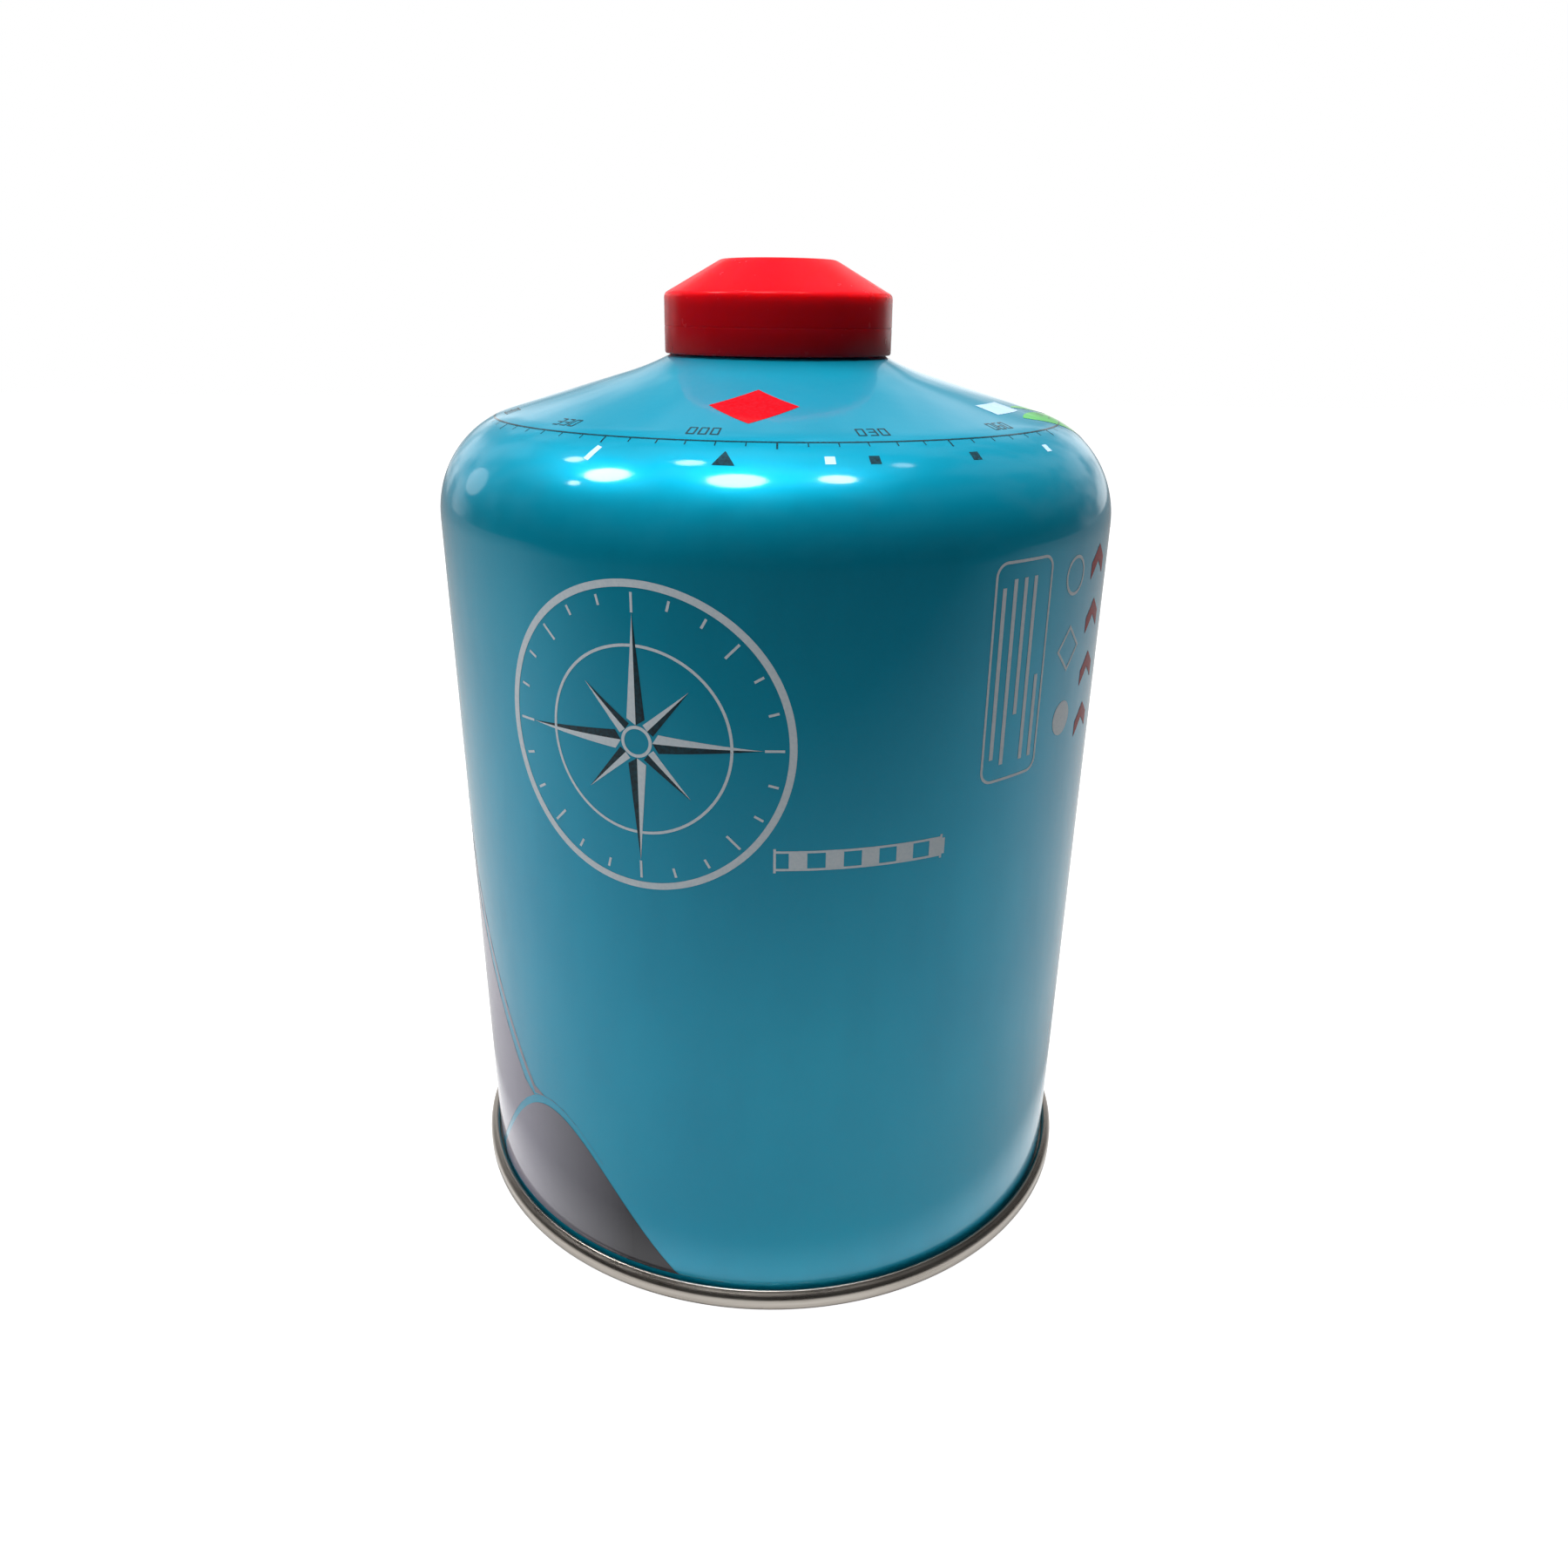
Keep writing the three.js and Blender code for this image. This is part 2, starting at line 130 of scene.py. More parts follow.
def skin(v, lift=0.0):
    """(radius, height) of the vessel's outer face, v mm along its outline from the floor."""
    if v <= SHOULDER_Z:
        return WALL_R + lift, v
    if v <= SHOULDER_Z + ARC_END:
        a = (v - SHOULDER_Z) / SHOULDER_R
        reach = SHOULDER_R + lift
        return WALL_R - SHOULDER_R + reach * math.cos(a), SHOULDER_Z + reach * math.sin(a)
    d = v - SHOULDER_Z - ARC_END
    if d <= CROWN_LEN:
        r = CROWN_R - d * math.cos(SLOPE)
        z = CROWN_Z + d * math.sin(SLOPE)
        return r + lift * math.sin(SLOPE), z + lift * math.cos(SLOPE)
    a = SLOPE + (d - CROWN_LEN) / FLARE_R
    centre_r = FLARE_START + FLARE_R * math.sin(SLOPE)
    centre_z = CROWN_Z + CROWN_LEN * math.sin(SLOPE) + FLARE_R * math.cos(SLOPE)
    return centre_r - (FLARE_R - lift) * math.sin(a), centre_z - (FLARE_R - lift) * math.cos(a)


V_TOP = SHOULDER_Z + ARC_END + CROWN_LEN + FLARE_R * FLARE_TURN
print("outline of the vessel runs to", round(V_TOP, 1), "mm")

# %% [markdown]
# ## Turned surfaces
# The vessel is one blank drawn into a cup and necked in at its top, so it shows no joint
# between wall, shoulder and crown. It could be made with a screw modifier on a curve. One small
# function does the same and also gives a UV map whose U goes round and V follows the section,
# and a sharp edge only where the sheet really has one.
# A closed outline that starts away from the axis becomes a ring; one that starts on it becomes
# a solid.

# %% Turning


def turned(name, outline, around, sharp=32):
    """A closed turned mesh, smooth except at corners sharper than the given angle."""
    ring = outline[0][0] > 1e-6
    points = list(outline) + ([outline[0]] if ring else [])
    points = np.array(points)
    area = np.sum(points[:-1, 0] * points[1:, 1] - points[1:, 0] * points[:-1, 1])
    area += points[-1, 0] * points[0, 1] - points[0, 0] * points[-1, 1]
    if area < 0:
        points = points[::-1]
    length = np.concatenate([[0], np.cumsum(np.linalg.norm(np.diff(points, axis=0), axis=1))])
    rows = len(points) - 1 if ring else len(points)
    verts, index = [], {}
    for i in range(rows):
        r, z = points[i]
        if r < 1e-6:
            index[i] = [len(verts)] * around
            verts.append((0, 0, z * MM))
        else:
            index[i] = list(range(len(verts), len(verts) + around))
            for k in range(around):
                a = 2 * math.pi * k / around
                verts.append((r * math.sin(a) * MM, -r * math.cos(a) * MM, z * MM))
    faces, coords = [], []
    for i in range(len(points) - 1):
        low, high = index[i], index[(i + 1) % rows]
        for k in range(around):
            n = (k + 1) % around
            corners = [
                (low[k], k, i), (low[n], k + 1, i), (high[n], k + 1, i + 1), (high[k], k, i + 1)]
            face, seen = [], set()
            for vertex, u, row in corners:
                if vertex not in seen:
                    seen.add(vertex)
                    face.append(vertex)
                    coords.append((u / around, length[row] / length[-1]))
            faces.append(face)
    mesh = bpy.data.meshes.new(name)
    mesh.from_pydata(verts, [], faces)
    layer = mesh.uv_layers.new(name="turned")
    layer.data.foreach_set("uv", np.array(coords, np.float32).ravel())
    mesh.polygons.foreach_set("use_smooth", [True] * len(mesh.polygons))
    mesh.set_sharp_from_angle(angle=math.radians(sharp))
    mesh.update()
    obj = bpy.data.objects.new(name, mesh)
    bpy.context.scene.collection.objects.link(obj)
    return obj


AROUND = 192
outer_face = [skin(v) for v in np.linspace(SHOULDER_Z, V_TOP, 60)]
neck_curl = [(13.3, 141.45)] + arc(13.8, 143.6, 1.4, -115, 180, 20)
cup_room = [(12.4, 141.9), (13.4, 140.9), (13.4, 139.0), (12.6, 138.3), (4.5, 138.3)]
valve_well = [(4.5, 136.5), (2.6, 136.5), (2.6, 131.6), (0.0, 131.6)]
vessel_outline = (
    dish_line(2.55, WALL_FOOT)
    + straight((WALL_R, WALL_FOOT), (WALL_R, SHOULDER_Z), 24)
    + outer_face + neck_curl + cup_room + valve_well
)
vessel = turned("vessel_skin", vessel_outline, AROUND)
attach(vessel, "can")
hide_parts("can_body")
print("vessel faces", len(vessel.data.polygons))

# %% [markdown]
# ## The seamed end
# A canister's foot is a separate disc of bare tinplate. A roller folds its rim round the
# vessel's hem twice, and that double seam is what it stands on. A plain torus would be quicker,
# but the light shows how the seam is made: a bright rolled lip beside the wall, a dark slope, a
# pale upright face that bulges a little, and a dark rounded edge at the bottom. So each of
# these has its own stretch of the outline. Under the canister the end is dished upwards, as a
# pressure vessel needs.

# %% Seamed end
# The seam's pale upright face is partly real shape and partly painted light: it mirrors the painted
# glow ring that the floor gives off round the foot.
HOOK_R = WALL_R + 0.3
HOOK_FOOT = 1.3
FOOT_EDGE = 0.7
LIP_EDGE = 0.32
FACE_BULGE = 3.0
chuck_wall = CHUCK_R + 1.8
foot_edge = (
    arc(chuck_wall + FOOT_EDGE, FOOT_EDGE, FOOT_EDGE, 180, 270, 6)[1:]
    + arc(SEAM_R - FOOT_EDGE, FOOT_EDGE, FOOT_EDGE, 270, 350, 8)
)
upright_face = arc(SEAM_R - FACE_BULGE, 1.6, FACE_BULGE, -8, 10, 5)
dark_slope = [
    (SEAM_R - 0.14, 2.32), (SEAM_R - 0.3, 2.55), (SEAM_R - 0.62, 2.84), (SEAM_R - 0.85, 2.98)]
lip = arc(HOOK_R + 0.45, SEAM_TOP - LIP_EDGE, LIP_EDGE, 40, 120, 5)
end_outline = (
    dish_line(1.8, FOOT_EDGE) + foot_edge + upright_face + dark_slope + lip
    + [(HOOK_R, SEAM_TOP - 0.3), (HOOK_R, HOOK_FOOT)]
    + dish_line(2.25, HOOK_FOOT)[::-1]
)
seamed_end = turned("seamed_end", end_outline, AROUND)
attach(seamed_end, "can")
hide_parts("bottom_end")
print("seamed end faces", len(seamed_end.data.polygons))

# %% [markdown]
# ## The cap
# The cap is moulded in two mould halves, and where they meet it keeps a fine line round its
# side. The side is almost upright, a soft edge leads to the cone, and the flat top has a small
# pit where the plastic was fed in. Inside, a bead snaps under the valve cup and six ribs hold
# the cone.
# The ribs could be cut into the solid with a boolean. As they only stand in the hollow, plain
# plates joined to the mesh give the same picture with clean faces.

# %% Cap
CONE_TURN = 59.7
gate_mark = [(0.0, 153.6), (1.4, 153.6), (1.75, 153.82)]
flat_top = straight((1.9, 153.85), (8.4, 153.87), 3) + arc(8.5, 152.85, 1.0, 90, CONE_TURN, 4)
cone = straight((9.15, 153.66), (16.9, 149.35), 8)
soft_edge = arc(16.57, 148.45, 0.95, CONE_TURN, 0, 8)
mould_line = [(17.56, 144.45), (17.5, 144.39), (17.5, 144.31), (17.56, 144.25)]
lower_edge = [(17.57, 140.8), (17.5, 140.6), (17.37, 140.5), (17.15, 140.5)]
bead = [(16.6, 141.0), (16.25, 141.35), (16.2, 141.6), (16.25, 141.95), (16.55, 142.3)]
hollow = [(16.5, 147.4), (16.3, 147.95), (15.9, 148.3), (8.4, 152.65), (0.0, 152.65)]
cap = turned(
    "cap_shell",
    gate_mark + flat_top + cone + soft_edge + mould_line + lower_edge + bead + hollow, 144)


def add_boxes(obj, shapes):
    """Joins plates to a mesh: each a (radius, height) polygon, a half width and an angle."""
    verts = [tuple(v.co) for v in obj.data.vertices]
    faces = [tuple(p.vertices) for p in obj.data.polygons]
    for polygon, half, angle in shapes:
        first, count = len(verts), len(polygon)
        for side in (-half, half):
            for r, z in polygon:
                x = r * math.cos(angle) - side * math.sin(angle)
                y = r * math.sin(angle) + side * math.cos(angle)
                verts.append((x * MM, y * MM, z * MM))
        faces.append(tuple(range(first, first + count)))
        faces.append(tuple(range(first + 2 * count - 1, first + count - 1, -1)))
        for k in range(count):
            n = (k + 1) % count
            faces.append((first + n, first + k, first + count + k, first + count + n))
    mesh = bpy.data.meshes.new(obj.name)
    mesh.from_pydata(verts, [], faces)
    mesh.polygons.foreach_set("use_smooth", [True] * len(mesh.polygons))
    mesh.set_sharp_from_angle(angle=math.radians(32))
    obj.data = mesh


rib = [(7.4, 147.1), (15.6, 147.1), (16.7, 147.9), (16.3, 149.0), (9.0, 153.0), (7.4, 153.0)]
RIBS = 6
add_boxes(cap, [(rib, 0.4, 2 * math.pi * i / RIBS) for i in range(RIBS)])
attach(cap, "cap")
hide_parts("cap")
print("cap faces", len(cap.data.polygons))

# %% [markdown]
# ## The valve's spring
# Under the stem stands a small coil of round wire that pushes it shut. It sits on the housing's
# floor, and a burner that is screwed on presses the stem two millimetres down. The part's own
# coil is angular, so a finer coil is wound here in its place.

# %% Spring
COIL_R, WIRE_R, COIL_TURNS = 2.35, 0.3, 5
COIL_LOW, COIL_HIGH = 140.9, 146.9


def coil(name, steps=200, around=10):
    """Round wire wound on a helix, with flat ends."""
    verts = []
    for i in range(steps + 1):
        a = i / steps * COIL_TURNS * 2 * math.pi
        middle = COIL_LOW + (COIL_HIGH - COIL_LOW) * i / steps
        for k in range(around):
            b = 2 * math.pi * k / around
            r, z = COIL_R + WIRE_R * math.cos(b), middle + WIRE_R * math.sin(b)
            verts.append((r * math.cos(a) * MM, r * math.sin(a) * MM, z * MM))
    last = steps * around
    faces = [tuple(range(around)), tuple(range(last + around - 1, last - 1, -1))]
    for i in range(steps):
        for k in range(around):
            p, q = i * around + k, i * around + (k + 1) % around
            faces.append((p, p + around, q + around, q))
    mesh = bpy.data.meshes.new(name)
    mesh.from_pydata(verts, [], faces)
    mesh.polygons.foreach_set("use_smooth", [len(p.vertices) == 4 for p in mesh.polygons])
    obj = bpy.data.objects.new(name, mesh)
    bpy.context.scene.collection.objects.link(obj)
    return obj


spring = coil("spring_coil")
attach(spring, "can")
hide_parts("stem_spring")
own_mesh(spring)

# %% [markdown]
# ## Print
# The real print is ink on the flat sheet before it is drawn. An image texture is one way to
# show it, but it blurs when seen closely and needs a file. Here each printed shape is a thin
# sheet of ink 0.03 mm above the lacquer, so its edge stays sharp at any distance.
# A shape is drawn flat in millimetres and cut into small cells. Each corner is then laid on the
# vessel by its angle and its distance up the section, which bends it exactly as the wall and
# shoulder bend.

# %% Print helpers
BAR_CELL = 1.5


def place(x, v, centre, radius):
    """A point of a flat drawing on the vessel, x being millimetres round at the given radius."""
    r, z = skin(v, INK_LIFT)
    a = math.radians(centre) + x / radius
    return (r * math.sin(a) * MM, -r * math.cos(a) * MM, z * MM)


def grid_faces(rows, columns, first=0):
    """Quads between the points of a grid, numbered row by row."""
    corners = [first + i * columns + k for i in range(rows - 1) for k in range(columns - 1)]
    return [(a, a + 1, a + columns + 1, a + columns) for a in corners]


def printed(name, strips, material):
    """One mesh from strips. A strip is (centre angle, radius, grid of (x, v) points)."""
    verts, faces = [], []
    for centre, radius, grid in strips:
        faces += grid_faces(len(grid), len(grid[0]), len(verts))
        verts += [place(x, v, centre, radius) for row in grid for x, v in row]
    mesh = bpy.data.meshes.new(name)
    mesh.from_pydata(verts, [], faces)
    for polygon in mesh.polygons:
        out = polygon.center.copy()
        if polygon.center.z < SHOULDER_Z * MM:
            out.z = 0
        if polygon.normal.dot(out) < 0:
            polygon.flip()
    mesh.polygons.foreach_set("use_smooth", [True] * len(mesh.polygons))
    mesh.update()
    obj = bpy.data.objects.new(name, mesh)
    bpy.context.scene.collection.objects.link(obj)
    obj.data.materials.append(material)
    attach(obj, "can")
    return obj


def patch(corners, across=1, along=1):
    """A grid between four corners given in order round the shape."""
    a, b, c, d = [np.array(p, float) for p in corners]
    grid = []
    for i in range(along + 1):
        t = i / along
        left, right = a + (d - a) * t, b + (c - b) * t
        grid.append([tuple(left + (right - left) * k / across) for k in range(across + 1)])
    return grid


def bar(x, v, width, height, turn=0.0):
    """A rectangle about (x, v), turned by an angle in degrees."""
    c, s = math.cos(math.radians(turn)), math.sin(math.radians(turn))
    w, h = width / 2, height / 2
    corners = [(-w, -h), (w, -h), (w, h), (-w, h)]
    corners = [(x + c * p - s * q, v + s * p + c * q) for p, q in corners]
    return patch(corners, max(1, round(width / BAR_CELL)), max(1, round(height / BAR_CELL)))


def ring_band(x, v, radius, width, start=0.0, end=360.0, steps=96):
    """Part of a ring, as a grid of two rows."""
    angles = np.radians(np.linspace(start, end, steps + 1))
    edges = (radius - width / 2, radius + width / 2)
    return [[(x + r * math.cos(a), v + r * math.sin(a)) for a in angles] for r in edges]


def disc(x, v, radius, steps=32):
    """A filled disc as a fan of rings."""
    angles = np.radians(np.linspace(0, 360, steps + 1))
    rings = [radius * t for t in (0.02, 0.35, 0.7, 1)]
    return [[(x + r * math.cos(a), v + r * math.sin(a)) for a in angles] for r in rings]


print("print helpers ready")

# %% [markdown]
# ## Materials
# Each material is named for the real one. One helper adds a node and fills its inputs, so that
# a network reads like a sentence. Noise takes the size of its features in millimetres, because
# a scratch or an orange peel has a real size whatever the object measures.

# %% Material helpers


def node(tree, kind, inputs=None, **settings):
    """Adds a node, sets its properties and fills or links its inputs."""
    made = tree.nodes.new(kind)
    for key, value in settings.items():
        setattr(made, key, value)
    for key, value in (inputs or {}).items():
        socket = made.inputs[key]
        if isinstance(value, bpy.types.NodeSocket):
            tree.links.new(value, socket)
        else:
            socket.default_value = value
    return made


def new_material(name, **sockets):
    """A material with one Principled shader whose sockets are set from the arguments."""
    made = bpy.data.materials.new(name)
    made.use_nodes = True
    tree = made.node_tree
    shader = tree.nodes["Principled BSDF"]
    for key, value in sockets.items():
        shader.inputs[key.replace("_", " ")].default_value = value
    return made, tree, shader


def noise(tree, scale_mm, detail=3.0, rough=0.55, stretch=(1, 1, 1)):
    """Noise whose main feature is about scale_mm wide, in object coordinates."""
    where = node(tree, "ShaderNodeTexCoord")
    mapped = node(tree, "ShaderNodeMapping", {"Vector": where.outputs["Object"], "Scale": stretch})
    return node(tree, "ShaderNodeTexNoise", {
        "Vector": mapped.outputs[0], "Scale": 1 / (scale_mm * MM),
        "Detail": detail, "Roughness": rough})


def spread(tree, source, low, high, to_low, to_high):
    """Maps a value range to another one, clamped."""
    return node(tree, "ShaderNodeMapRange", {
        "Value": source, "From Min": low, "From Max": high,
        "To Min": to_low, "To Max": to_high}).outputs[0]


def stops(tree, source, points):
    """A piecewise straight curve through (value, level) points, for values from -1 to 1."""
    ramp = node(tree, "ShaderNodeValToRGB", {"Fac": spread(tree, source, -1, 1, 0, 1)})
    marks = ramp.color_ramp.elements
    marks.remove(marks[1])
    for i, (value, level) in enumerate(points):
        mark = marks[0] if i == 0 else marks.new(value / 2 + 0.5)
        mark.position = value / 2 + 0.5
        mark.color = (level, level, level, 1)
    return ramp.outputs[0]


def bump(tree, shader, height, distance_mm, strength):
    """Lets a pattern move the surface by a depth in millimetres, for light only."""
    made = node(tree, "ShaderNodeBump", {
        "Height": height, "Distance": distance_mm * MM, "Strength": strength})
    tree.links.new(made.outputs[0], shader.inputs["Normal"])


def drift(tree, shader, factor, low, high):
    """Lets the base colour drift between two sRGB colours."""
    tone = node(tree, "ShaderNodeMixRGB", {
        "Fac": factor, "Color1": linear(low), "Color2": linear(high)})
    tree.links.new(tone.outputs[0], shader.inputs["Base Color"])


print("material helpers ready")

# %% [markdown]
# ## Lacquer
# Translucent teal lacquer over bright tinplate. The eye sees two things at once: a saturated
# colour that darkens where the sheet mirrors a dark room, and above it the sharp white lamps in
# the clear top coat. A plain glossy paint lacks the first, a coloured metal the second.
# So the base is partly metal, with a colour that drifts a little over centimetres, and a coat
# lies on top. A fine orange peel of under two millimetres makes the edges of the lamps waver,
# and faint scuffs that run up the wall vary the roughness.

# %% Lacquer
lacquer, tree, shader = new_material(
    "teal_lacquer_on_tinplate", Metallic=0.6, Roughness=0.4, Specular_IOR_Level=0.0,
    Coat_Weight=1.0, Coat_Roughness=0.085, Coat_IOR=1.5)
cloud = noise(tree, 60, 2.0)
drift(tree, shader, spread(tree, cloud.outputs["Fac"], 0.35, 0.65, 0, 1), "#06a4c8", "#05aed0")
scuff = noise(tree, 6, 4.0, 0.7, (1, 1, 0.25))
rough = spread(tree, scuff.outputs["Fac"], 0.35, 0.75, 0.36, 0.46)
tree.links.new(rough, shader.inputs["Roughness"])
peel = noise(tree, 1.6, 2.0)
bump(tree, shader, peel.outputs["Fac"], 0.004, 0.5)
vessel.data.materials.append(lacquer)
print("lacquer ready")

# %% [markdown]
# ## Tinplate
# Tin gives a warm grey mirror with the fine lines of the rolling mill in it. The lines run
# round the seam, so the noise is squeezed along the axis and stretched round it. They change
# colour, roughness and height together, as the real ones do.

# %% Tinplate
tinplate, tree, shader = new_material("bare_tinplate", Metallic=1.0, Roughness=0.3)
rolled = noise(tree, 4, 4.0, 0.7, (0.12, 0.12, 4))
drift(tree, shader, spread(tree, rolled.outputs["Fac"], 0.3, 0.7, 0, 1), "#a39b92", "#cfc8bf")
tree.links.new(spread(tree, rolled.outputs["Fac"], 0.3, 0.7, 0.22, 0.4), shader.inputs["Roughness"])
bump(tree, shader, rolled.outputs["Fac"], 0.01, 0.4)
seamed_end.data.materials.append(tinplate)
print("tinplate ready")

# %% [markdown]
# ## Cap plastic
# Polypropylene isn't opaque. Light enters the cone and comes out of the side, so the cap's side
# glows deep red under its upper edge and darkens downwards. That is why the shader scatters
# light below the surface, red further than the other colours. The mould leaves a faint, uneven
# gloss.

# %% Cap plastic
red_plastic, tree, shader = new_material(
    "red_polypropylene", Roughness=0.2, IOR=1.49, Specular_IOR_Level=0.16,
    Subsurface_Weight=0.9, Subsurface_Scale=0.005)
shader.inputs["Base Color"].default_value = linear("#c80d19")
shader.inputs["Subsurface Radius"].default_value = (1.0, 0.15, 0.1)
mould = noise(tree, 2.5, 3.0)
tree.links.new(spread(tree, mould.outputs["Fac"], 0.3, 0.7, 0.2, 0.28), shader.inputs["Roughness"])
bump(tree, shader, mould.outputs["Fac"], 0.003, 0.4)
cap.data.materials.append(red_plastic)
print("cap plastic ready")

# %% [markdown]
# ## The valve's materials
# Under the cap the small pieces but the spring keep the part's own meshes, because only what
# shows in a view needs finer ones. Turned brass shows the fine rings of the tool, spring wire is
# smooth, nitrile rubber is dull and nearly black, and the housing is pale acetal.

# %% Valve materials
brass, tree, shader = new_material("turned_brass", Metallic=1.0, Roughness=0.28)
shader.inputs["Base Color"].default_value = linear("#c9a35a")
bump(tree, shader, noise(tree, 0.8, 3.0, 0.6, (0.2, 0.2, 3)).outputs["Fac"], 0.005, 0.5)
wire, tree, shader = new_material("spring_steel_wire", Metallic=1.0, Roughness=0.3)
shader.inputs["Base Color"].default_value = linear("#a9abad")
rubber, tree, shader = new_material("black_nitrile_rubber", Roughness=0.7)
shader.inputs["Base Color"].default_value = linear("#1c1c1d")
acetal, tree, shader = new_material("pale_acetal", Roughness=0.45)
shader.inputs["Base Color"].default_value = linear("#d2d0c8")
surfaces = {
    "valve_cup": tinplate, "cup_gasket": rubber, "stem_gasket": rubber,
    "valve_stem": brass, "valve_housing": acetal,
}
for name, surface in surfaces.items():
    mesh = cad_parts[name].data
    mesh.materials.clear()
    mesh.materials.append(surface)
spring.data.materials.append(wire)
print("valve materials", sorted(surfaces))

# %% [markdown]
# ## Inks
# The inks lie under the same clear coat as the lacquer, so they share its gloss and only
# replace its colour. A fine grain of teal shows through, as thin ink on a colour never covers
# it fully. The two reds cover better and have less gloss, or they would look pink.

# %% Inks


def ink(name, hex_code, coat=1.0, worn=0.12):
    """An ink of one colour; `worn` is how much teal its grain lets through."""
    made, tree, shader = new_material(
        name, Roughness=0.4, Specular_IOR_Level=0.0, Coat_Weight=coat, Coat_Roughness=0.05)
    grain = noise(tree, 0.5, 2.0)
    drift(tree, shader, spread(tree, grain.outputs["Fac"], 0.3, 0.7, 0, worn), hex_code, "#0c93b1")
    return made


white_ink = ink("white_ink", "#dfe9ef")
black_ink = ink("black_ink", "#16282f")
red_ink = ink("red_ink", "#a80a14", coat=0.3, worn=0.02)
dark_red_ink = ink("dark_red_ink", "#ae1422", coat=0.5, worn=0.03)
pale_ink = ink("pale_ink", "#b0cde6")
print("inks ready")

# %% [markdown]
# ## The dial on the shoulder
# A thin dark line runs round the shoulder, with plain numbers above it. A font would bring
# outlines with hundreds of points, and the numbers on the can are of the plain seven-stroke
# kind anyway. So a digit is a list of strokes, and each stroke a small bar. The numbers are
# bearings in steps of thirty degrees.

# %% Dial line and numbers
LINE_V = 135.1
LINE_HALF = 0.14
LINE_R = skin(LINE_V)[0]
NUMBER_STEP = 30
NUMBER_SHIFT = -13
low, high, reach = LINE_V - LINE_HALF, LINE_V + LINE_HALF, math.radians(NUMBER_STEP) * LINE_R
piece = patch([(0, low), (reach, low), (reach, high), (0, high)], 24)
strips = [(start, LINE_R, piece) for start in range(0, 360, NUMBER_STEP)]
printed("dial_line", strips, black_ink)

SEGMENTS = {"a": (0, 1, 0), "b": (0.5, 0.5, 90), "c": (0.5, -0.5, 90), "d": (0, -1, 0),
            "e": (-0.5, -0.5, 90), "f": (-0.5, 0.5, 90), "g": (0, 0, 0)}
DIGITS = {"0": "abcdef", "1": "bc", "2": "abged", "3": "abgcd", "4": "fgbc", "5": "afgcd",
          "6": "afgedc", "7": "abc", "8": "abcdefg", "9": "abcdfg"}


def number(text, v, size=1.0):
    """Grids of a plain number made of short strokes, centred at v."""
    grids = []
    step = size * 1.65
    for i, digit in enumerate(text):
        x = (i - (len(text) - 1) / 2) * step
        for stroke in DIGITS[digit]:
            dx, dz, turn = SEGMENTS[stroke]
            grids.append(bar(x + dx * size, v + dz * size, size * 1.1, size * 0.26, turn))
    return grids


strips = []
for bearing in range(0, 360, NUMBER_STEP):
    for grid in number(f"{bearing:03d}", LINE_V + 2.7):
        strips.append((bearing + NUMBER_SHIFT, LINE_R, grid))
printed("dial_numbers", strips, black_ink)
print("dial line radius", round(LINE_R, 2))

# %% [markdown]
# ## Ticks that repeat
# Seventy-two short ticks and twelve long ones stand under the line. Each could be placed in a
# loop, but something that repeats evenly is what a node group is good at. The group takes a
# tick, a count, a starting angle and an ink, turns one copy for each index and realises them.
# Its result is kept as a plain mesh, so nothing is left to work out later.

# %% Dial ticks


def repeat_group():
    """Node group: copies the given object round the vertical axis, realised and with a material."""
    group = bpy.data.node_groups.new("repeat_round_axis", "GeometryNodeTree")
    face = group.interface
    face.new_socket("Tick", in_out="INPUT", socket_type="NodeSocketObject")
    face.new_socket("Count", in_out="INPUT", socket_type="NodeSocketInt")
    face.new_socket("Start", in_out="INPUT", socket_type="NodeSocketFloat")
    face.new_socket("Ink", in_out="INPUT", socket_type="NodeSocketMaterial")
    face.new_socket("Geometry", in_out="OUTPUT", socket_type="NodeSocketGeometry")
    enter = group.nodes.new("NodeGroupInput")
    leave = group.nodes.new("NodeGroupOutput")
    info = node(group, "GeometryNodeObjectInfo", {"Object": enter.outputs["Tick"]})
    points = node(group, "GeometryNodePoints", {"Count": enter.outputs["Count"]})
    order = node(group, "GeometryNodeInputIndex")
    step = node(group, "ShaderNodeMath", {
        0: 2 * math.pi, 1: enter.outputs["Count"]}, operation="DIVIDE")
    angle = node(group, "ShaderNodeMath", {
        0: order.outputs[0], 1: step.outputs[0], 2: enter.outputs["Start"],
    }, operation="MULTIPLY_ADD")
    turn = node(group, "ShaderNodeCombineXYZ", {"Z": angle.outputs[0]})
    copies = node(group, "GeometryNodeInstanceOnPoints", {
        "Points": points.outputs[0], "Instance": info.outputs["Geometry"],
        "Rotation": turn.outputs[0]})
    real = node(group, "GeometryNodeRealizeInstances", {"Geometry": copies.outputs[0]})
    inked = node(group, "GeometryNodeSetMaterial", {
        "Geometry": real.outputs[0], "Material": enter.outputs["Ink"]})
    group.links.new(inked.outputs[0], leave.inputs[0])
    return group


